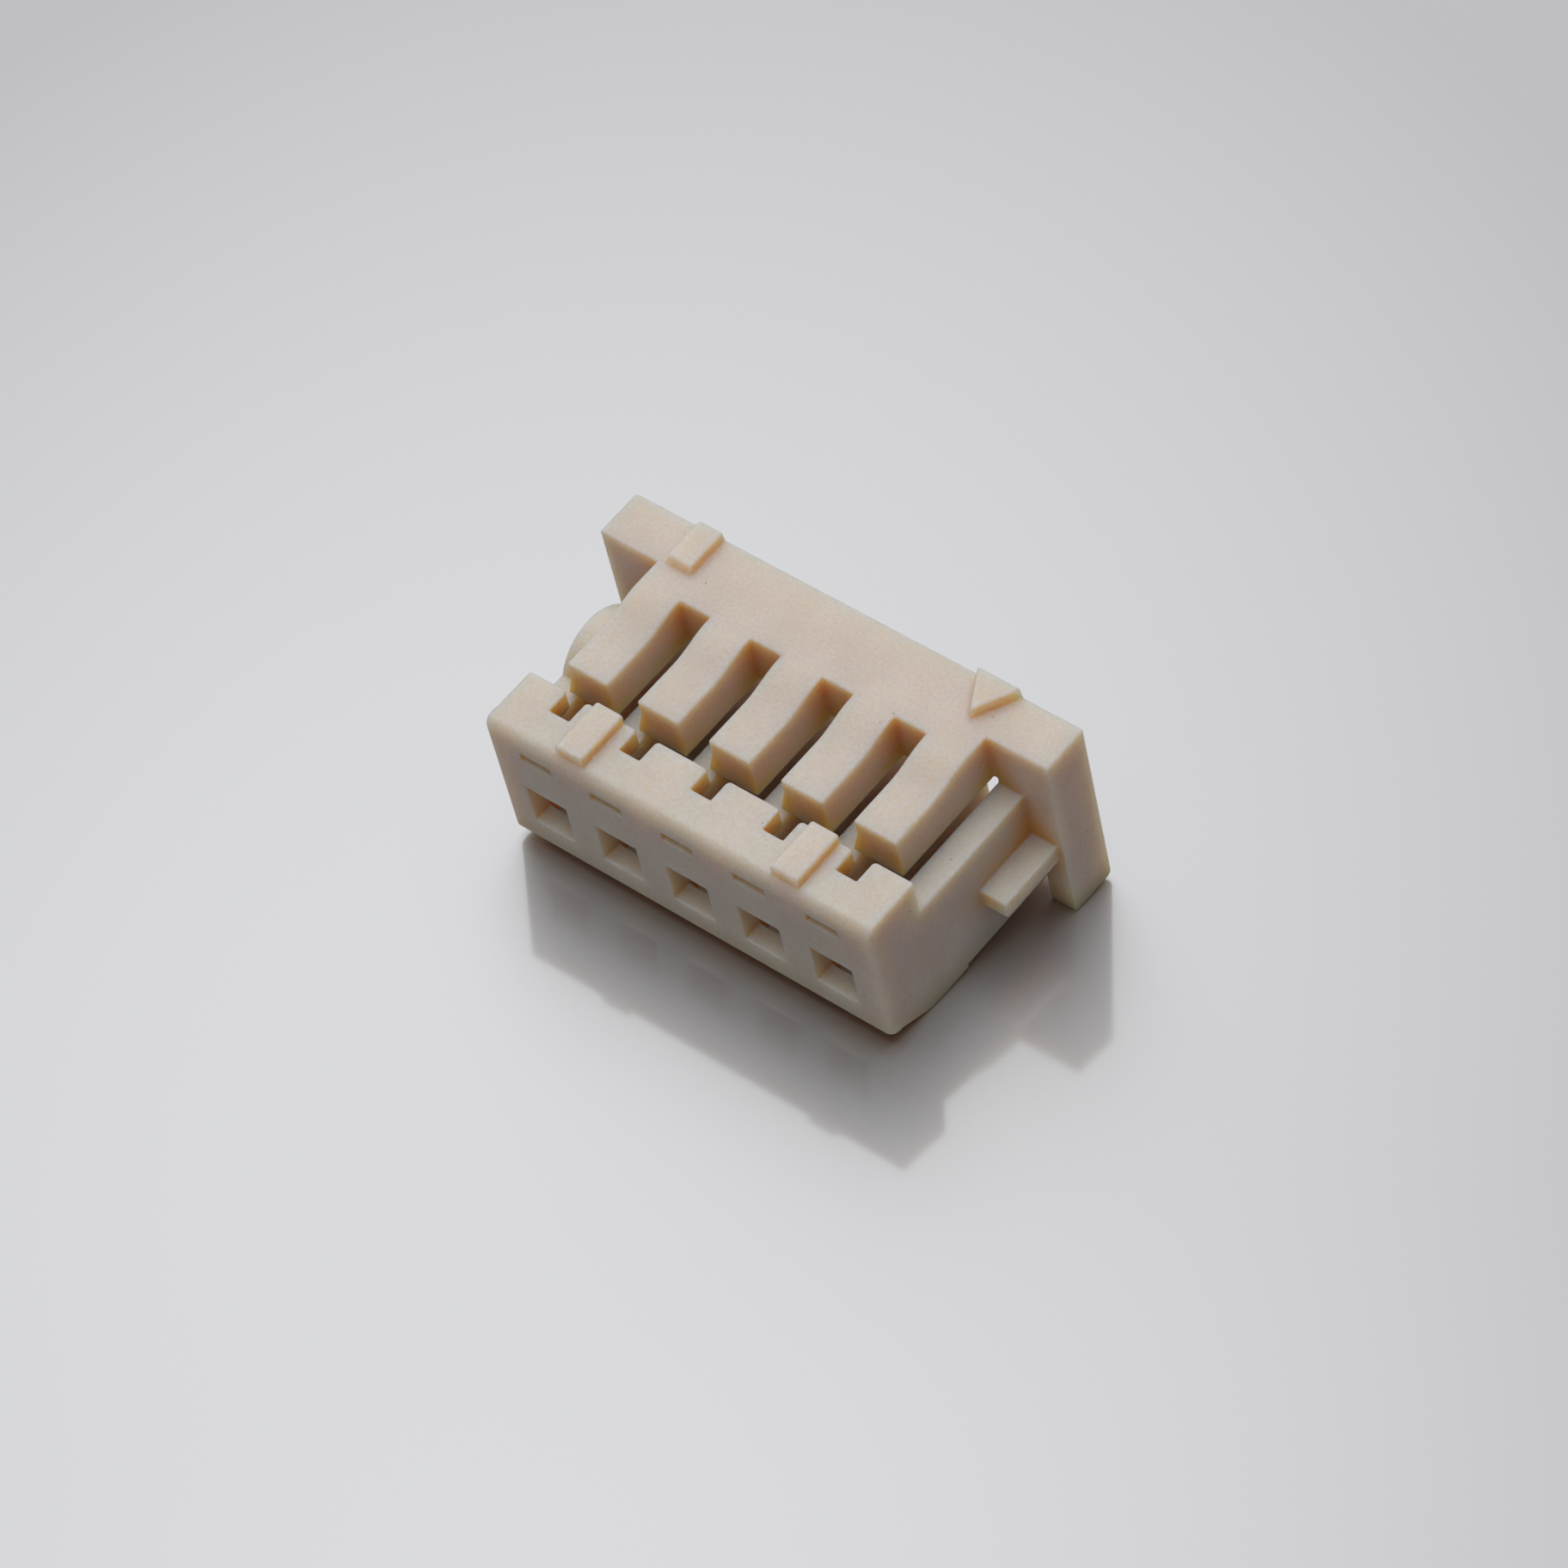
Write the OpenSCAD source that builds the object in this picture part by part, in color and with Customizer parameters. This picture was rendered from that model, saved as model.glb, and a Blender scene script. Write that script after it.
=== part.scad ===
// Contact housing of a wire-to-board connector, moulded in one piece.
// A row of open cavities takes one crimped contact each, with a locking lance over every cavity,
// a bar with pin holes at the mating end and an ear with a leg at each end of the row.
// X runs along the row, -Y is the mating side, +Y the wire side and +Z the lance side.
// Depths count from the mating face, heights from the feet of the legs and drops from the roof.

/* [Row] */
// Number of contact cavities
contacts = 5; // [2:1:12]
// Distance between neighbouring cavities
pitch = 1.25; // [1.2:0.05:2]
// Clear width of one cavity
cavity_w = 0.8; // [0.7:0.02:0.9]
// Thickness of the side wall outside the last cavity
side_wall = 0.44; // [0.3:0.02:0.7]

/* [Body] */
// Depth from the mating face to the rear of the roof and ears
depth = 4.02; // [3.9:0.02:4.6]
// How far the roof reaches past the rear of the body
roof_overhang = 0.23; // [0.1:0.01:0.4]
// Height from the feet to the top of the roof
height = 3.15; // [3:0.01:3.6]
// Height of the underside of the body above the feet
body_lift = 0.23; // [0.1:0.01:0.35]
// Thickness of the floor under the cavities
floor_t = 0.42; // [0.25:0.01:0.5]
// Thickness of the wall behind the mating face
front_wall = 0.32; // [0.25:0.01:0.6]
// Drop from the roof to the top of the side walls and partitions
rail_drop = 0.945; // [0.92:0.005:1.1]
// Radius of the upright edges of the mating face
nose_corner_r = 0.1; // [0.02:0.01:0.2]
// Depth of the lead-in slope under the nose
lead_in_d = 0.82; // [0.3:0.01:1.1]
// Rise of that slope at the mating face
lead_in_h = 0.33; // [0.1:0.01:0.4]
// Depth at which the underside steps up behind the nose
sole_d = 1.62; // [1.2:0.02:2.4]
// Height of that step
sole_h = 0.06; // [0.02:0.01:0.15]

/* [Bar] */
// Depth of the bar that closes the cavities at the mating end
bar_d = 1.01; // [0.9:0.01:1.15]
// Drop from the roof to the top of the bar
bar_drop = 0.33; // [0.2:0.01:0.5]
// Depth taken by the rounded front edge of the bar
bar_round_d = 0.18; // [0.05:0.01:0.25]
// Height taken by the rounded front edge of the bar
bar_round_h = 0.28; // [0.1:0.01:0.3]
// Width of the window notched into the rear of the bar over each cavity
window_w = 0.35; // [0.2:0.01:0.5]
// Depth of that window
window_d = 0.38; // [0.2:0.01:0.5]
// Radius of the upright edges at the mouth of the window
window_r = 0.07; // [0.02:0.01:0.1]
// Width of the two raised pads on the bar
pad_w = 0.47; // [0.3:0.01:0.7]
// Height of those pads above the bar
pad_h = 0.17; // [0.05:0.01:0.25]
// Distance from the mating face to the front of the pads
pad_inset = 0.12; // [0.02:0.01:0.2]
// Radius of the upper front and side edges of the pads
pad_r = 0.05; // [0.02:0.01:0.15]

/* [Mating face] */
// Width of the pin hole of each cavity
pin_hole_w = 0.72; // [0.5:0.01:0.78]
// Height of the pin hole
pin_hole_h = 0.73; // [0.5:0.01:0.9]
// Height of the middle of the pin holes above the feet
pin_hole_z = 1.305; // [1.2:0.005:1.45]
// Width of the release slit above each pin hole
slit_w = 0.54; // [0.3:0.01:0.6]
// Height of the release slit
slit_h = 0.16; // [0.1:0.01:0.25]
// Drop from the roof to the top of the slits
slit_drop = 0.67; // [0.62:0.01:0.75]

/* [Lances] */
// Width of the slots between neighbouring lances
slot_w = 0.535; // [0.47:0.005:0.6]
// Depth from the mating face to the tips of the lances
lance_tip_d = 1.275; // [1.2:0.005:1.5]
// Depth from the mating face to the roots of the lances
lance_root_d = 2.863; // [2.6:0.01:3.1]
// Thickness of the roof and of the lances at their roots
roof_t = 0.865; // [0.7:0.005:0.9]
// Drop of the top of a lance between its root and its tip
lance_sink = 0.13; // [0.05:0.01:0.2]
// Distance from the root to the start of that drop
sink_gap = 0.06; // [0.02:0.01:0.3]
// Length of the lance over which it drops
sink_l = 0.77; // [0.3:0.01:0.9]
// Reach of the toe at the side of each lance tip
toe_w = 0.15; // [0.05:0.01:0.2]
// Height of the toe
toe_h = 0.45; // [0.2:0.01:0.6]
// Length of the toe along the lance
toe_d = 0.2; // [0.1:0.01:0.4]

/* [Ears] */
// Reach of the ears past the side walls
ear_reach = 0.545; // [0.5:0.005:0.9]
// Depth of the ears, flush with the rear of the roof
ear_d = 0.79; // [0.6:0.01:1]
// Thickness of the legs under the ears
leg_t = 0.44; // [0.3:0.01:0.48]
// Radius of the lower rear edge of the legs
leg_r = 0.1; // [0.02:0.01:0.2]
// Reach of the side lugs past the side walls
lug_reach = 0.44; // [0.2:0.01:0.5]
// Length of the side lugs in front of the ears
lug_l = 1.14; // [0.6:0.02:1.6]
// Height of the side lugs
lug_h = 0.3; // [0.2:0.01:0.5]
// Drop from the roof to the top of the side lugs
lug_drop = 1.75; // [1.2:0.01:1.9]

/* [Crest] */
// Depth from the mating face to the middle of the round crest on the side wall by the last cavity
crest_d = 2.2; // [2:0.01:2.4]
// Radius of the crest
crest_r = 0.77; // [0.5:0.01:0.9]
// Rise of the crest above the side wall
crest_rise = 0.465; // [0.2:0.005:0.6]

/* [Marks] */
// Width of the foot of the raised triangle at the first cavity
triangle_w = 0.8; // [0.4:0.01:1]
// Length of the foot of the raised triangle
triangle_l = 0.7; // [0.4:0.01:1]
// Height of the raised triangle
triangle_h = 0.18; // [0.05:0.01:0.25]
// Width of the foot of the raised key at the last cavity
key_w = 0.46; // [0.3:0.01:0.6]
// Length of the foot of the raised key
key_l = 0.77; // [0.4:0.01:0.9]
// Height of the raised key
key_h = 0.15; // [0.05:0.01:0.25]
// Size of the tops of both marks as a share of their feet
mark_taper = 0.9; // [0.8:0.02:1]

/* [Hidden] */
plastic_colour = [0.79, 0.74, 0.69];
arc_steps = 8;
sink_steps = 10;
overlap = 0.05;
$fn = 32;

lance_w = pitch - slot_w;
first_x = (contacts - 1) / 2 * pitch;
side_x = first_x + cavity_w / 2 + side_wall;
roof_x = first_x + lance_w / 2;
ear_x = side_x + ear_reach;
body_d = depth - roof_overhang;
ear_from_d = depth - ear_d;
sink_to_d = lance_root_d - sink_gap;
sink_from_d = sink_to_d - sink_l;
rail_z = height - rail_drop;
bar_z = height - bar_drop;
roof_under_z = height - roof_t;
cavity_floor_z = body_lift + floor_t;
slit_z = height - slit_drop;
lug_z = height - lug_drop;
cavity_x = [for (i = [0:contacts - 1]) i * pitch - first_x];
pad_x = first_x - pitch / 2;

// A box between two limits along the row, two depths and two heights
module box(x, d, z) {
  translate([x[0], d[0], z[0]])
    cube([x[1] - x[0], d[1] - d[0], z[1] - z[0]]);
}

// An outline of depth and height, drawn out along the row
module along_row(w) {
  rotate([90, 0, 90])
    linear_extrude(w, center = true)
      children();
}

// An outline of row position and height, drawn out from one depth to another
module along_depth(d) {
  translate([0, d[1], 0])
    rotate([90, 0, 0])
      linear_extrude(d[1] - d[0])
        children();
}

// A quarter of an ellipse from [0, 0] to [w, h], upright at its start
function quarter(w, h) =
  [for (i = [0:arc_steps]) let (a = 90 * i / arc_steps) [w * (1 - cos(a)), h * sin(a)]];

// Side outline of the nose: bar, side walls and underside
module nose_side() {
  rise = quarter(bar_round_d, bar_round_h);
  polygon(concat(
    [[0, body_lift + lead_in_h]],
    [for (p = rise) p + [0, bar_z - bar_round_h]],
    [[bar_d, bar_z], [bar_d, rail_z], [body_d, rail_z]],
    [[body_d, body_lift + sole_h], [sole_d, body_lift + sole_h]],
    [[sole_d, body_lift], [lead_in_d, body_lift]]
  ));
}

// Plan of the nose, with rounded upright edges at the mating face
module nose_plan() {
  translate([-side_x, nose_corner_r])
    square([2 * side_x, body_d - nose_corner_r]);
  translate([nose_corner_r - side_x, 0])
    square([2 * (side_x - nose_corner_r), nose_corner_r]);
  for (s = [-1, 1])
    translate([s * (side_x - nose_corner_r), nose_corner_r])
      circle(nose_corner_r);
}

module nose() {
  intersection() {
    along_row(2 * side_x) nose_side();
    linear_extrude(height) nose_plan();
  }
}

// Space for one contact, open to the rear and under the lance
module cavity() {
  box([-cavity_w / 2, cavity_w / 2], [front_wall, body_d + overlap], [cavity_floor_z, slit_z - slit_h]);
  box([-cavity_w / 2, cavity_w / 2], [bar_d, body_d + overlap], [cavity_floor_z, height]);
}

// Pin hole and release slit in the mating face, the slit opening into the cavity behind the front wall
module face_openings() {
  slit_x = [-slit_w / 2, slit_w / 2];
  box(
    [-pin_hole_w / 2, pin_hole_w / 2],
    [-overlap, front_wall + overlap],
    [pin_hole_z - pin_hole_h / 2, pin_hole_z + pin_hole_h / 2]
  );
  box(slit_x, [-overlap, bar_d + overlap], [slit_z - slit_h, slit_z]);
  box(slit_x, [front_wall, bar_d + overlap], [slit_z - slit_h - overlap, slit_z]);
}

// Window in the rear of the bar, with a rounded mouth
module window() {
  translate([0, bar_d, slit_z - slit_h])
    linear_extrude(height) {
      translate([-window_w / 2, -window_d])
        square([window_w, window_d + overlap]);
      for (s = [-1, 1])
        translate([s * window_w / 2, 0])
          mirror([s < 0 ? 1 : 0, 0])
            mouth_round();
    }
}

// The corner that is taken off to round one edge of a window's mouth
module mouth_round() {
  difference() {
    translate([-overlap, -window_r])
      square([window_r + overlap, window_r + overlap]);
    translate([window_r, -window_r])
      circle(window_r);
  }
}

// Raised pad with rounded upper front and side edges, standing on the bar
module bar_pad() {
  foot_z = bar_z - bar_round_h;
  rise = [for (p = quarter(pad_r, pad_r)) p + [0, bar_z + pad_h - pad_r]];
  left = [for (p = rise) p - [pad_w / 2, 0]];
  right = [for (i = [arc_steps:-1:0]) [-left[i][0], left[i][1]]];
  intersection() {
    along_row(pad_w)
      polygon(concat(
        [[pad_inset, foot_z]],
        [for (p = rise) p + [pad_inset, 0]],
        [[bar_d, bar_z + pad_h], [bar_d, foot_z]]
      ));
    along_depth([0, bar_d])
      polygon(concat([[-pad_w / 2, foot_z]], left, right, [[pad_w / 2, foot_z]]));
  }
}

// Side outline of a lance, its top sinking in a smooth step towards the tip
module lance_side() {
  function sink(t) = lance_sink * (1 + cos(180 * t)) / 2;
  sunk = [
    for (i = [0:sink_steps]) let (t = i / sink_steps)
      [sink_from_d + t * (sink_to_d - sink_from_d), height - sink(t)]
  ];
  polygon(concat(
    [[lance_tip_d, roof_under_z], [lance_tip_d, height - lance_sink]],
    sunk,
    [[lance_root_d + overlap, height], [lance_root_d + overlap, roof_under_z]]
  ));
}

// Toe that widens the lower side of a lance tip, towards the last cavity
module lance_toe() {
  along_depth([lance_tip_d, lance_tip_d + toe_d])
    polygon([
      [-lance_w / 2, roof_under_z + toe_h],
      [-lance_w / 2 - toe_w, roof_under_z],
      [overlap - lance_w / 2, roof_under_z],
      [overlap - lance_w / 2, roof_under_z + toe_h]
    ]);
}

module lance() {
  along_row(lance_w) lance_side();
  lance_toe();
}

// Roof behind the lances, carried by the partitions
module roof() {
  box([-roof_x, roof_x], [lance_root_d, depth], [roof_under_z, height]);
  for (i = [1:contacts - 1])
    box(
      [cavity_x[i - 1] + cavity_w / 2, cavity_x[i] - cavity_w / 2],
      [lance_root_d, body_d],
      [rail_z - overlap, roof_under_z + overlap]
    );
}

// Ear with its leg at the right-hand end of the row
module ear() {
  rear = [ear_from_d, depth];
  box([roof_x - overlap, ear_x], rear, [roof_under_z, height]);
  box([side_x - side_wall, ear_x], [ear_from_d, body_d], [rail_z - overlap, roof_under_z + overlap]);
  box([side_x - overlap, ear_x], rear, [lug_z - lug_h, roof_under_z + overlap]);
  leg();
}

module leg() {
  translate([ear_x - leg_t / 2, 0, 0])
    along_row(leg_t) {
      translate([ear_from_d, leg_r])
        square([ear_d, lug_z - lug_h + overlap - leg_r]);
      translate([ear_from_d, 0])
        square([ear_d - leg_r, leg_r]);
      translate([depth - leg_r, leg_r])
        circle(leg_r);
    }
}

// Side lug in front of the ear, which slides in the groove of the mating header
module lug() {
  box(
    [side_x - overlap, side_x + lug_reach],
    [ear_from_d - lug_l, ear_from_d + overlap],
    [lug_z - lug_h, lug_z]
  );
}

// Round crest on the side wall by the last cavity, which only fits one way round
module crest() {
  translate([side_wall / 2 - side_x, 0, 0])
    along_row(side_wall)
      intersection() {
        translate([crest_d, rail_z + crest_rise - crest_r])
          circle(crest_r);
        translate([crest_d - crest_r, rail_z - overlap])
          square([2 * crest_r, crest_rise + overlap]);
      }
}

// A mark of some height on the roof, flush with its rear and tapered from its foot
module mark(x, h) {
  translate([x, depth, height])
    linear_extrude(h, scale = mark_taper)
      children();
}

// Raised triangle that points from the wire side to the first cavity
module triangle_mark() {
  mark(first_x, triangle_h)
    polygon([[-triangle_w / 2, 0], [triangle_w / 2, 0], [0, -triangle_l]]);
}

// Raised key over the last cavity
module key_mark() {
  mark(-first_x, key_h)
    translate([-key_w / 2, -key_l])
      square([key_w, key_l]);
}

module housing() {
  color(plastic_colour)
    translate([0, -depth / 2, 0]) {
      difference() {
        union() {
          nose();
          for (s = [-1, 1])
            translate([s * pad_x, 0, 0]) bar_pad();
        }
        for (x = cavity_x)
          translate([x, 0, 0]) {
            cavity();
            face_openings();
            window();
          }
      }
      for (x = cavity_x)
        translate([x, 0, 0]) lance();
      roof();
      for (s = [0, 1])
        mirror([s, 0, 0]) {
          ear();
          lug();
        }
      crest();
      triangle_mark();
      key_mark();
    }
}

housing();
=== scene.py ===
import math
from itertools import combinations

import bmesh
import bpy
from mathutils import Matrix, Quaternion, Vector
from mathutils.bvhtree import BVHTree
from mathutils.geometry import intersect_point_line

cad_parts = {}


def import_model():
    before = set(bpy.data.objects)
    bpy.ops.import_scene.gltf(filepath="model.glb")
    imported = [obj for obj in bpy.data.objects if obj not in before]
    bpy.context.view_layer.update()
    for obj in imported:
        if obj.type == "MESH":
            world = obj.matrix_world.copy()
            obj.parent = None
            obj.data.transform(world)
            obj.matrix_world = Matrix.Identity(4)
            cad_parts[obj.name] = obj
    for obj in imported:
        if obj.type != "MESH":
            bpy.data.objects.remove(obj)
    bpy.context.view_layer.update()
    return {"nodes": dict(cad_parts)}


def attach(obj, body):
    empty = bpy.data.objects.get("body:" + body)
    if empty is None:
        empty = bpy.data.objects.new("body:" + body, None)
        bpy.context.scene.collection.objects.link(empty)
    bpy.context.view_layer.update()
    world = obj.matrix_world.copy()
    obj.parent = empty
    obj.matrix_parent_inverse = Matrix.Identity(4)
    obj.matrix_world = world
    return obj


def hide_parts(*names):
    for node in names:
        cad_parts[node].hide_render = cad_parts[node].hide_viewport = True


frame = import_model()

MM = 0.001
WHITE = (1, 1, 1, 1)

# Camera, fitted to corner points of the photograph
PHOTO_SIZE_PX = 1824
FOCAL_PX = 7332
SENSOR_MM = 36
CAMERA_PLACE_MM = Vector((41.27, -33.72, 67.70))
CAMERA_AZIMUTH = math.radians(50.71)
CAMERA_ELEVATION = math.radians(51.17)
CAMERA_ROLL = math.radians(-14.78)
CLIP_MM = (1, 2000)

# Flats of the CAD mesh, and points that become one
WELD_MM = 0.004
FLAT_ANGLE = math.radians(1)

# Rounding of the moulded edges
EDGE_ANGLE = math.radians(35)
EDGE_ROUND_MM = 0.032
EDGE_SEGMENTS = 3
ROUND_PROFILE = 0.5
MERGE_MM = 0.0003

# Edges that stay sharp: two that face each other closely, and ends where a rounding would fold
EDGE_ROOM_MM = 0.07
OPPOSED = -0.3
EDGE_END_MM = 0.12
SPLIT_FROM_MM = 4 * EDGE_END_MM
FOLD_SEARCH_MM = 2 * EDGE_ROUND_MM
FOLD_DOT = 0.1
FOLD_REACH_MM = 0.08
FOLD_TRIES = 6
SLIVER_MM2 = 1e-7

# Shading of the rounded mesh
SMOOTH_ANGLE = math.radians(40)
FLAT_WIDTH_MM = 0.12

# Plastic. A ramp has the start and end of what it reads, and then of what it gives if that isn't 0 to 1
BASE_PALE = (0.590, 0.522, 0.476, 1)
BASE_WARM = (0.555, 0.486, 0.438, 1)
MOTTLE_MM = 0.8
MOTTLE_DETAIL = 3
MOTTLE_RAMP = (0.35, 0.65)
GRAIN_COLOUR = (0.50, 0.30, 0.11, 1)
GRAIN_MM = 0.05
GRAIN_DETAIL = 2
GRAIN_RAMP = (0.35, 0.8, 0, 0.3)
GRAIN_BUMP = 0.6
GRAIN_DEPTH_MM = 0.02
ROUGHNESS_RAMP = (0.2, 0.8, 0.45, 0.62)
SPECK_COLOUR = (0.16, 0.12, 0.09, 1)
SPECK_SPACING_MM = 0.45
SPECK_RAMP = (0.05, 0.03, 0, 0.6)
# Painted warm shade: a golden brown laid into recesses by ambient occlusion, most on upright walls. It
# stands in for shade and for light bounced through the plastic
PAINTED_SHADE_COLOUR = (0.56, 0.33, 0.09, 1)
PAINTED_SHADE_REACH_MM = 0.55
PAINTED_SHADE_SAMPLES = 4
PAINTED_SHADE_RAMP = (0.92, 0.5)
PAINTED_SHADE_UPRIGHT_RAMP = (0.9, 0.4, 0.1, 1)
TRANSLUCENT_MM = (1.5, 0.92, 0.45)

# Floor, with a painted pool of light: palest at one spot near the part and darker away from it
FLOOR_SIZE_MM = 600
REST_DIGITS = 6
FLOOR_COLOUR = (0.335, 0.337, 0.350, 1)
FLOOR_PAINTED_DIM_COLOUR = (0.215, 0.216, 0.225, 1)
FLOOR_PAINTED_LIGHT_SPOT_MM = (-2.68, -4.41, 0.54)
FLOOR_PAINTED_LIGHT_REACH_MM = (24, 17.5)
FLOOR_PAINTED_LIGHT_TURN = math.radians(-67.6)
FLOOR_METALLIC = 1
FLOOR_ROUGHNESS = 0.5
FLOOR_COAT = 1
FLOOR_COAT_IOR = 2.0
FLOOR_COAT_ROUGHNESS = 0.09
FLOOR_GRAIN_MM = 0.06
FLOOR_GRAIN_DETAIL = 2
FLOOR_GRAIN_BUMP = 0.3
FLOOR_GRAIN_DEPTH_MM = 0.002

# Light. A span has the cosines of the angles from the middle at which a light starts and is full
SKY_LOW = 0.03
SKY_HIGH = 2.8
SKY_MIDDLE = Vector((-0.08, 0.20, 0.98)).normalized()
SKY_SPAN = (0.68, 0.97)
PANEL_LEVEL = 1.9
PANEL_MIDDLE = Vector((-0.485, 0.50, 0.71)).normalized()
PANEL_SPAN = (0.88, 0.975)
FILL_LEVEL = 0.4
FILL_MIDDLE = Vector((0.3, -0.8, 0.5)).normalized()
FILL_SPAN = (0.5, 0.97)
BACKGROUND_LEVEL = 0.88


def set_inputs(node, values):
    """Set inputs of a shader node by their names."""
    for key, value in values.items():
        node.inputs[key].default_value = value


def add_node(tree, kind, **inputs):
    """A shader node with some inputs set by their names."""
    node = tree.nodes.new(kind)
    set_inputs(node, inputs)
    return node


def noise(tree, place, size_mm, detail):
    """Noise with features of about one size."""
    node = add_node(tree, "ShaderNodeTexNoise", Scale=1 / (size_mm * MM), Detail=detail)
    tree.links.new(place, node.inputs["Vector"])
    return node.outputs[0]


def ramp(tree, value, start, end, low=0, high=1, kind="LINEAR"):
    """A value carried from one range to another."""
    node = tree.nodes.new("ShaderNodeMapRange")
    node.interpolation_type = kind
    for socket, number in zip(node.inputs[1:5], (start, end, low, high)):
        socket.default_value = number
    tree.links.new(value, node.inputs[0])
    return node.outputs[0]


def mixed(tree, factor, first, second):
    """Two colours, each a constant or a socket, mixed by a factor."""
    node = tree.nodes.new("ShaderNodeMix")
    node.data_type = "RGBA"
    sockets = {s.identifier: s for s in node.inputs}
    tree.links.new(factor, sockets["Factor_Float"])
    for key, colour in (("A_Color", first), ("B_Color", second)):
        if isinstance(colour, tuple):
            sockets[key].default_value = colour
        else:
            tree.links.new(colour, sockets[key])
    return next(s for s in node.outputs if s.identifier == "Result_Color")


def math_node(tree, operation, first, second):
    """Arithmetic on two values, each a constant or a socket."""
    node = tree.nodes.new("ShaderNodeMath")
    node.operation = operation
    for socket, value in zip(node.inputs, (first, second)):
        if isinstance(value, (int, float)):
            socket.default_value = value
        else:
            tree.links.new(value, socket)
    return node.outputs[0]


def vector_node(tree, operation, vector, constant=(0, 0, 0)):
    """A number worked out from a vector, and a constant one where it takes two."""
    node = tree.nodes.new("ShaderNodeVectorMath")
    node.operation = operation
    tree.links.new(vector, node.inputs[0])
    node.inputs[1].default_value = constant
    return node.outputs["Value"]


def new_material(name):
    """A material with its Principled shader, and its object coordinates."""
    material = bpy.data.materials.new(name)
    material.use_nodes = True
    tree = material.node_tree
    place = tree.nodes.new("ShaderNodeTexCoord").outputs["Object"]
    return material, tree, tree.nodes["Principled BSDF"], place


def roughen(tree, shader, height, strength, depth_mm):
    """Give a shader a fine relief."""
    bump = add_node(tree, "ShaderNodeBump", Strength=strength, Distance=depth_mm * MM)
    tree.links.new(height, bump.inputs["Height"])
    tree.links.new(bump.outputs["Normal"], shader.inputs["Normal"])


def speckled(tree, place, colour):
    """A colour with a few dark specks."""
    cells = add_node(tree, "ShaderNodeTexVoronoi", Scale=1 / (SPECK_SPACING_MM * MM))
    tree.links.new(place, cells.inputs["Vector"])
    share = ramp(tree, cells.outputs["Distance"], *SPECK_RAMP)
    return mixed(tree, share, colour, SPECK_COLOUR)


def painted_recess_shade(tree, colour):
    """A colour with painted warm shade: golden in recesses, most on their upright walls."""
    shade_occlusion = add_node(tree, "ShaderNodeAmbientOcclusion", Distance=PAINTED_SHADE_REACH_MM * MM)
    shade_occlusion.samples = PAINTED_SHADE_SAMPLES
    facing = tree.nodes.new("ShaderNodeSeparateXYZ")
    tree.links.new(tree.nodes.new("ShaderNodeNewGeometry").outputs["Normal"], facing.inputs[0])
    shade_depth = ramp(tree, shade_occlusion.outputs["AO"], *PAINTED_SHADE_RAMP)
    shade_upright = ramp(tree, facing.outputs["Z"], *PAINTED_SHADE_UPRIGHT_RAMP)
    return mixed(tree, math_node(tree, "MULTIPLY", shade_depth, shade_upright), colour, PAINTED_SHADE_COLOUR)


def plastic():
    """Pale translucent plastic with painted warm shade in its recesses, and with grain, mottle and a few
    specks.
    """
    material, tree, shader, place = new_material("moulded_plastic")
    mottle = noise(tree, place, MOTTLE_MM, MOTTLE_DETAIL)
    grain = noise(tree, place, GRAIN_MM, GRAIN_DETAIL)
    colour = mixed(tree, ramp(tree, mottle, *MOTTLE_RAMP), BASE_PALE, BASE_WARM)
    colour = mixed(tree, ramp(tree, grain, *GRAIN_RAMP), colour, GRAIN_COLOUR)
    # Painted warm shade in the recesses
    colour = painted_recess_shade(tree, speckled(tree, place, colour))
    tree.links.new(colour, shader.inputs["Base Color"])
    tree.links.new(ramp(tree, grain, *ROUGHNESS_RAMP), shader.inputs["Roughness"])
    set_inputs(shader, {
        "Subsurface Weight": 1,
        "Subsurface Radius": TRANSLUCENT_MM,
        "Subsurface Scale": MM,
    })
    roughen(tree, shader, grain, GRAIN_BUMP, GRAIN_DEPTH_MM)
    return material


def floor_material():
    """A pale sheet with a painted pool of light near the part, a fine grain and a soft sheen, under a
    clear coat.
    """
    material, tree, shader, place = new_material("pale_floor")
    # Painted pool of light: the colour darkens with the square of the distance from a spot near the part
    painted_light_place = tree.nodes.new("ShaderNodeMapping")
    painted_light_place.vector_type = "TEXTURE"
    set_inputs(painted_light_place, {
        "Location": [x * MM for x in FLOOR_PAINTED_LIGHT_SPOT_MM],
        "Rotation": (0, 0, FLOOR_PAINTED_LIGHT_TURN),
        "Scale": (FLOOR_PAINTED_LIGHT_REACH_MM[0] * MM, FLOOR_PAINTED_LIGHT_REACH_MM[1] * MM, 1),
    })
    tree.links.new(place, painted_light_place.inputs["Vector"])
    distance = vector_node(tree, "LENGTH", painted_light_place.outputs[0])
    painted_dimming = math_node(tree, "MULTIPLY", distance, distance)
    tree.links.new(mixed(tree, painted_dimming, FLOOR_COLOUR, FLOOR_PAINTED_DIM_COLOUR), shader.inputs["Base Color"])
    set_inputs(shader, {
        "Metallic": FLOOR_METALLIC,
        "Roughness": FLOOR_ROUGHNESS,
        "Coat Weight": FLOOR_COAT,
        "Coat IOR": FLOOR_COAT_IOR,
        "Coat Roughness": FLOOR_COAT_ROUGHNESS,
    })
    grain = noise(tree, place, FLOOR_GRAIN_MM, FLOOR_GRAIN_DETAIL)
    roughen(tree, shader, grain, FLOOR_GRAIN_BUMP, FLOOR_GRAIN_DEPTH_MM)
    return material


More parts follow.
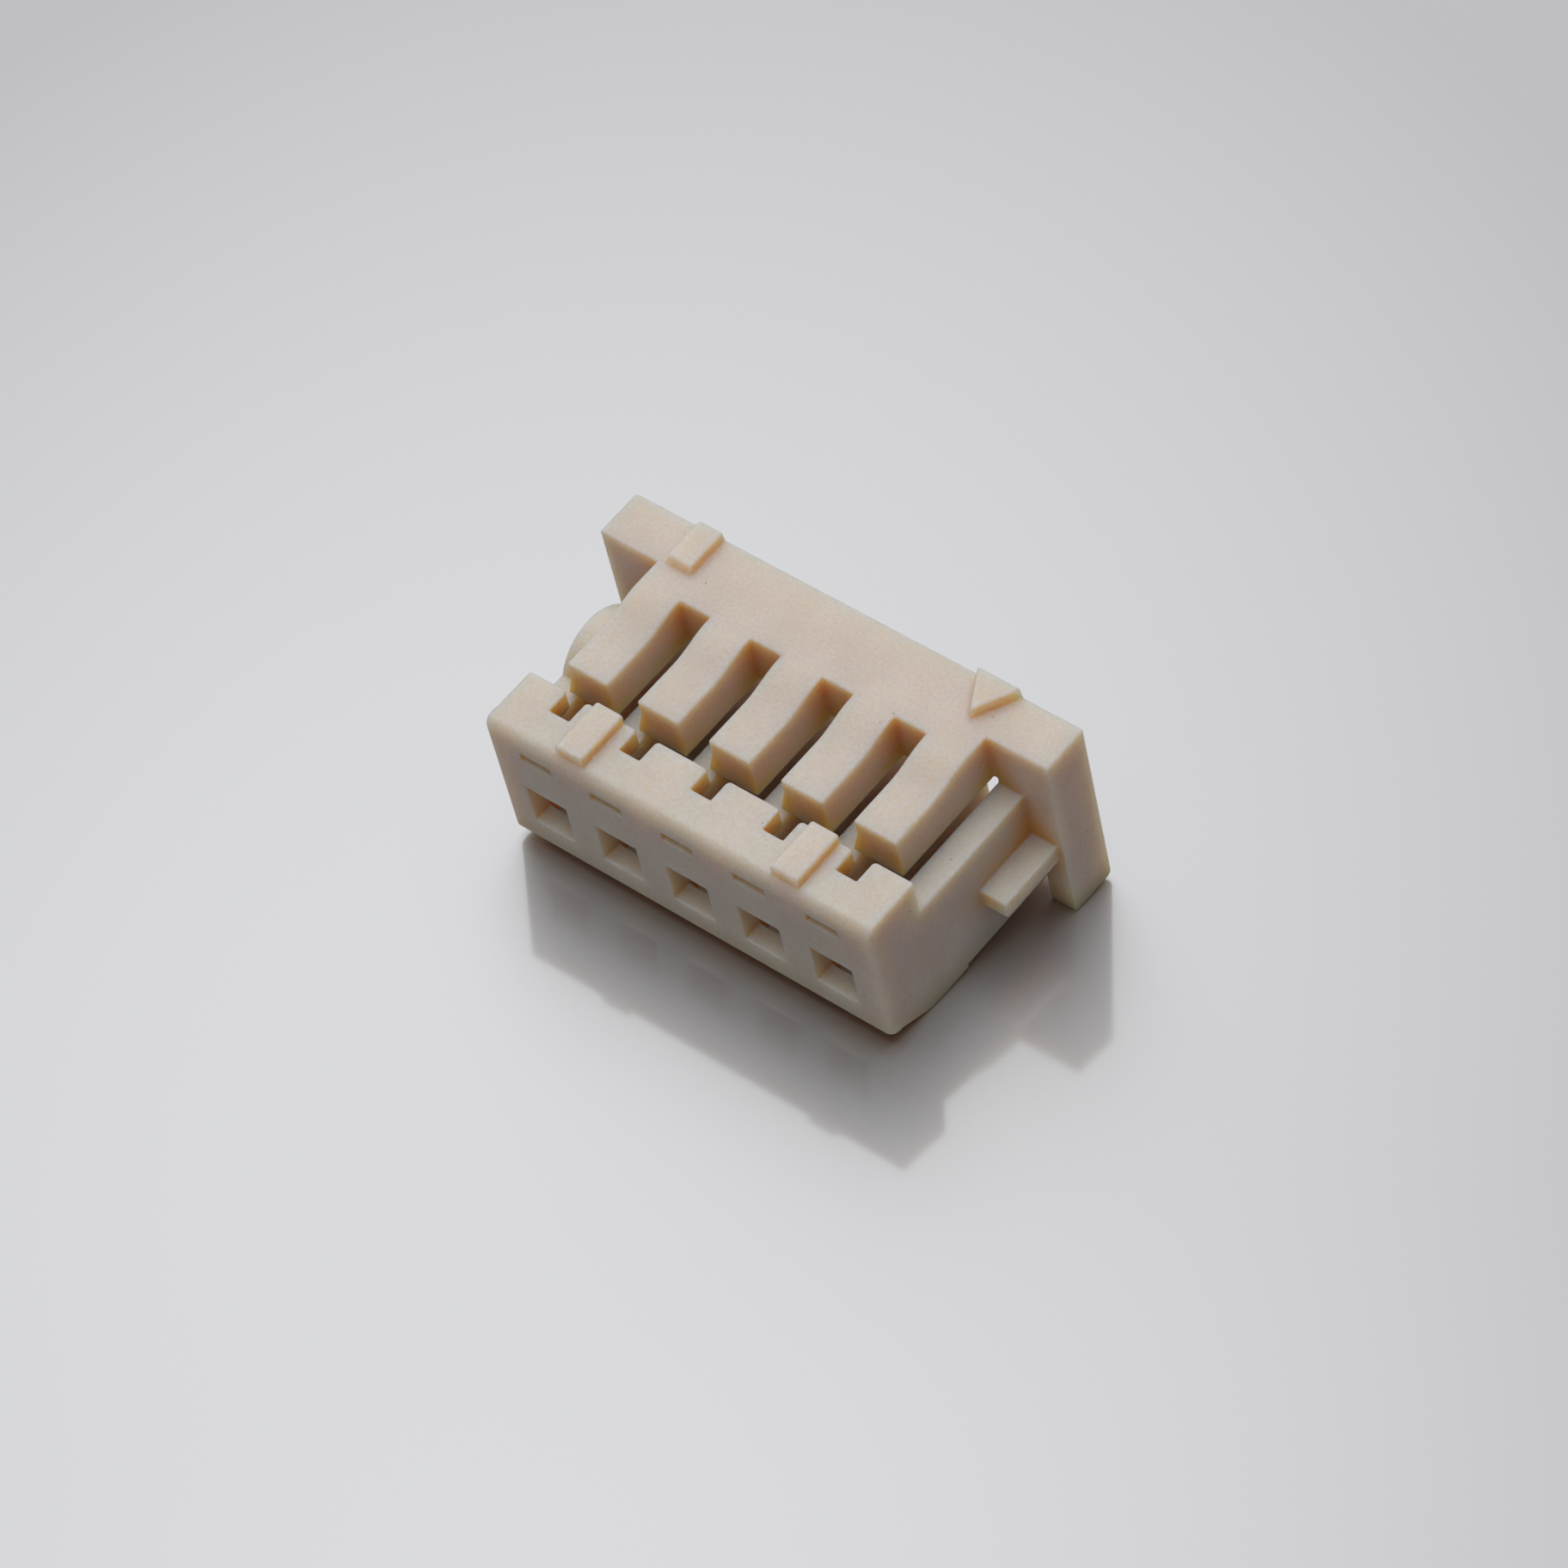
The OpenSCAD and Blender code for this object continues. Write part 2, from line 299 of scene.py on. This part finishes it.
def flat_regions(bm):
    """Groups of connected faces that lie in one plane."""
    left = set(bm.faces)
    for start in bm.faces:
        if start not in left:
            continue
        left.remove(start)
        group = [start]
        for face in group:
            for near in (f for e in face.edges for f in e.link_faces):
                if near in left and near.normal.angle(start.normal, math.pi) < FLAT_ANGLE:
                    left.remove(near)
                    group.append(near)
        yield group


def sharp_edges(bm):
    """The edges to round, in the mesh's order."""
    return [e for e in bm.edges if e.is_manifold and e.calc_face_angle() > EDGE_ANGLE]


def rim_edges(group, sharp):
    """The sharp edges around a flat, each with its two ends and its direction into the flat."""
    for face in group:
        for loop in face.loops:
            if loop.edge in sharp:
                start = loop.vert.co
                end = loop.link_loop_next.vert.co
                yield loop.edge, start, end, face.normal.cross(end - start).normalized()


def point_to_segment(point, start, end):
    """The distance of a point from a segment."""
    share = intersect_point_line(point, start, end)[1]
    return (point - start.lerp(end, min(max(share, 0), 1))).length


def segment_gap(a, b, c, d):
    """The least distance of an end of one segment, a to b or c to d, from the other."""
    return min(
        point_to_segment(a, c, d),
        point_to_segment(b, c, d),
        point_to_segment(c, a, b),
        point_to_segment(d, a, b),
    )


def crowded(bm, sharp):
    """Sharp edges that face another across a strip too narrow for two roundings."""
    found = set()
    for group in flat_regions(bm):
        for first, second in combinations(rim_edges(group, sharp), 2):
            edge, a, b, inward = first
            other, c, d, facing = second
            if inward.dot(facing) > OPPOSED or (c + d - a - b).dot(inward) < 0:
                continue
            if set(edge.verts) & set(other.verts):
                continue
            if segment_gap(a, b, c, d) < EDGE_ROOM_MM:
                found |= {edge, other}
    return found


def region_widths(bm):
    """The width of the flat that each face belongs to."""
    widths = {}
    for group in flat_regions(bm):
        inside = set(group)
        rim = sum(e.calc_length() for f in group for e in f.edges if not inside.issuperset(e.link_faces))
        area = sum(f.calc_area() for f in group)
        widths.update(dict.fromkeys(group, 2 * area / max(rim, WELD_MM)))
    return widths


def blended_normal(face, vert, widths):
    """The sum of the normals that run on smoothly around a face's corner, by width and angle."""
    total = Vector()
    for loop in vert.link_loops:
        near = loop.face
        if near.normal.angle(face.normal, math.pi) < SMOOTH_ANGLE:
            total += near.normal * widths[near] ** 2 * loop.calc_angle()
    return total


def soft_normals(bm):
    """A normal for each face corner: flats keep their own, and narrow faces blend into those near them."""
    widths = region_widths(bm)
    normals = []
    for face in bm.faces:
        for vert in face.verts:
            blend = blended_normal(face, vert, widths)
            own = widths[face] > FLAT_WIDTH_MM or not blend.length
            normals.append(face.normal.copy() if own else blend.normalized())
    return normals


def split_ends(bm):
    """Split the long sharp edges near both ends, so that an end can stay sharp by itself."""
    for edge in sharp_edges(bm):
        if edge.calc_length() < SPLIT_FROM_MM:
            continue
        longest = edge
        for vert in list(edge.verts):
            share = EDGE_END_MM / longest.calc_length()
            new = bmesh.utils.edge_split(longest, vert, share)[0]
            longest = max(longest, new, key=lambda e: e.calc_length())
    bm.edges.index_update()


def flat_source(node):
    """A CAD node in millimetres, with each flat made of few convex faces."""
    bm = bmesh.new()
    bm.from_mesh(node.data)
    bmesh.ops.scale(bm, vec=Vector((1, 1, 1)) / MM, verts=bm.verts)
    bmesh.ops.remove_doubles(bm, verts=bm.verts, dist=WELD_MM)
    bmesh.ops.dissolve_limit(bm, angle_limit=FLAT_ANGLE, verts=bm.verts, edges=bm.edges)
    bmesh.ops.connect_verts_concave(bm, faces=bm.faces)
    bm.normal_update()
    split_ends(bm)
    return bm


def bevelled(source, edges):
    """A copy of a mesh with some of its edges rounded."""
    bm = source.copy()
    bm.edges.ensure_lookup_table()
    bmesh.ops.bevel(
        bm,
        geom=[bm.edges[e.index] for e in edges],
        offset=EDGE_ROUND_MM,
        offset_type="OFFSET",
        segments=EDGE_SEGMENTS,
        profile=ROUND_PROFILE,
        affect="EDGES",
        clamp_overlap=False,
        loop_slide=False,
    )
    bmesh.ops.remove_doubles(bm, verts=bm.verts, dist=MERGE_MM)
    bmesh.ops.dissolve_degenerate(bm, dist=MERGE_MM, edges=bm.edges)
    bmesh.ops.triangulate(bm, faces=bm.faces)
    bm.normal_update()
    return bm


def folds(bm, tree):
    """Corners of the faces that turn away from every source face near them."""
    spots = []
    for face in bm.faces:
        if face.calc_area() < SLIVER_MM2:
            continue
        hits = [hit for v in face.verts for hit in tree.find_nearest_range(v.co, FOLD_SEARCH_MM)]
        if max((normal.dot(face.normal) for _, normal, _, _ in hits), default=1) < FOLD_DOT:
            spots += [v.co.copy() for v in face.verts]
    return spots


def rounded(source):
    """A copy of a mesh with its sharp edges rounded, save where that would fold it."""
    tree = BVHTree.FromBMesh(source)
    sharp = sharp_edges(source)
    close = crowded(source, set(sharp))
    edges = [e for e in sharp if e not in close]
    for _ in range(FOLD_TRIES):
        bm = bevelled(source, edges)
        spots = folds(bm, tree)
        if not spots:
            break
        edges = [
            e for e in edges
            if min(point_to_segment(p, *(v.co for v in e.verts)) for p in spots) > FOLD_REACH_MM
        ]
    return bm


def add_object(name, data):
    """An object in the scene."""
    obj = bpy.data.objects.new(name, data)
    bpy.context.scene.collection.objects.link(obj)
    return obj


def rounded_copy(node, name):
    """A copy of a CAD node with its sharp edges rounded."""
    bm = rounded(flat_source(node))
    normals = soft_normals(bm)
    bmesh.ops.scale(bm, vec=Vector((1, 1, 1)) * MM, verts=bm.verts)
    mesh = bpy.data.meshes.new(name)
    bm.to_mesh(mesh)
    mesh.shade_smooth()
    mesh.normals_split_custom_set(normals)
    return add_object(name, mesh)


def lower_hull(points):
    """The lower side of the hull of points of depth and height, from front to rear."""
    hull = []
    for y, z in sorted(points):
        while len(hull) > 1:
            (y0, z0), (y1, z1) = hull[-2:]
            if (y1 - y0) * (z - z0) > (z1 - z0) * (y - y0):
                break
            hull.pop()
        hull.append((y, z))
    return hull


def resting_line(node):
    """Front and rear point of the line on which the part rests, below its middle."""
    points = {(round(v.co.y, REST_DIGITS), round(v.co.z, REST_DIGITS)) for v in node.data.vertices}
    hull = lower_hull(points)
    for front, rear in zip(hull, hull[1:]):
        if front[0] <= 0 <= rear[0]:
            return Vector((0, *front)), Vector((0, *rear))


def floor(node):
    """A large plane through the line on which the part rests."""
    front, rear = resting_line(node)
    along = (rear - front).normalized()
    side = Vector((1, 0, 0))
    half = FLOOR_SIZE_MM * MM / 2
    corners = [
        front + side * a * half + along * b * half
        for a, b in ((-1, -1), (1, -1), (1, 1), (-1, 1))
    ]
    mesh = bpy.data.meshes.new("floor")
    mesh.from_pydata(corners, [], [(0, 1, 2, 3)])
    mesh.materials.append(floor_material())
    plane = add_object("floor", mesh)


def camera():
    """A camera at the photograph's place and angle."""
    data = bpy.data.cameras.new("camera")
    data.sensor_width = SENSOR_MM
    data.lens = SENSOR_MM * FOCAL_PX / PHOTO_SIZE_PX
    data.clip_start, data.clip_end = (x * MM for x in CLIP_MM)
    out = Vector((
        math.sin(CAMERA_AZIMUTH) * math.cos(CAMERA_ELEVATION),
        -math.cos(CAMERA_AZIMUTH) * math.cos(CAMERA_ELEVATION),
        math.sin(CAMERA_ELEVATION),
    ))
    obj = add_object("camera", data)
    obj.rotation_mode = "QUATERNION"
    obj.rotation_quaternion = (-out).to_track_quat("-Z", "Y") @ Quaternion((0, 0, 1), CAMERA_ROLL)
    obj.location = CAMERA_PLACE_MM * MM
    bpy.context.scene.camera = obj


def soft_light(tree, direction, middle, span, low, high):
    """Light that grows smoothly towards one direction."""
    nearness = vector_node(tree, "DOT_PRODUCT", direction, middle)
    return ramp(tree, nearness, *span, low, high, "SMOOTHSTEP")


def world():
    """Soft light from above, behind and in front, with a pale background for the eye and for gloss."""
    studio = bpy.data.worlds.new("studio")
    studio.use_nodes = True
    bpy.context.scene.world = studio
    tree = studio.node_tree
    link = tree.links.new
    direction = tree.nodes.new("ShaderNodeTexCoord").outputs["Generated"]
    path = tree.nodes.new("ShaderNodeLightPath").outputs
    gloss = math_node(tree, "GREATER_THAN", path["Is Glossy Ray"], path["Diffuse Depth"])
    others = (
        soft_light(tree, direction, PANEL_MIDDLE, PANEL_SPAN, 0, PANEL_LEVEL),
        soft_light(tree, direction, FILL_MIDDLE, FILL_SPAN, 0, FILL_LEVEL),
        math_node(tree, "MULTIPLY", gloss, BACKGROUND_LEVEL),
    )
    strength = soft_light(tree, direction, SKY_MIDDLE, SKY_SPAN, SKY_LOW, SKY_HIGH)
    for light in others:
        strength = math_node(tree, "MAXIMUM", strength, light)
    lights = tree.nodes["Background"]
    lights.inputs["Color"].default_value = WHITE
    link(strength, lights.inputs["Strength"])
    pale = add_node(tree, "ShaderNodeBackground", Strength=BACKGROUND_LEVEL, Color=WHITE)
    seen = math_node(tree, "MAXIMUM", path["Is Camera Ray"], path["Is Transmission Ray"])
    both = tree.nodes.new("ShaderNodeMixShader")
    for output, socket in zip((seen, lights.outputs[0], pale.outputs[0]), both.inputs):
        link(output, socket)
    link(both.outputs[0], tree.nodes["World Output"].inputs["Surface"])


housing = frame["nodes"]["housing"]
piece = rounded_copy(housing, "moulded_housing")
piece.data.materials.append(plastic())
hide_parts("housing")
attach(piece, "root")
floor(housing)
world()
camera()
bpy.context.scene.view_settings.view_transform = "Standard"
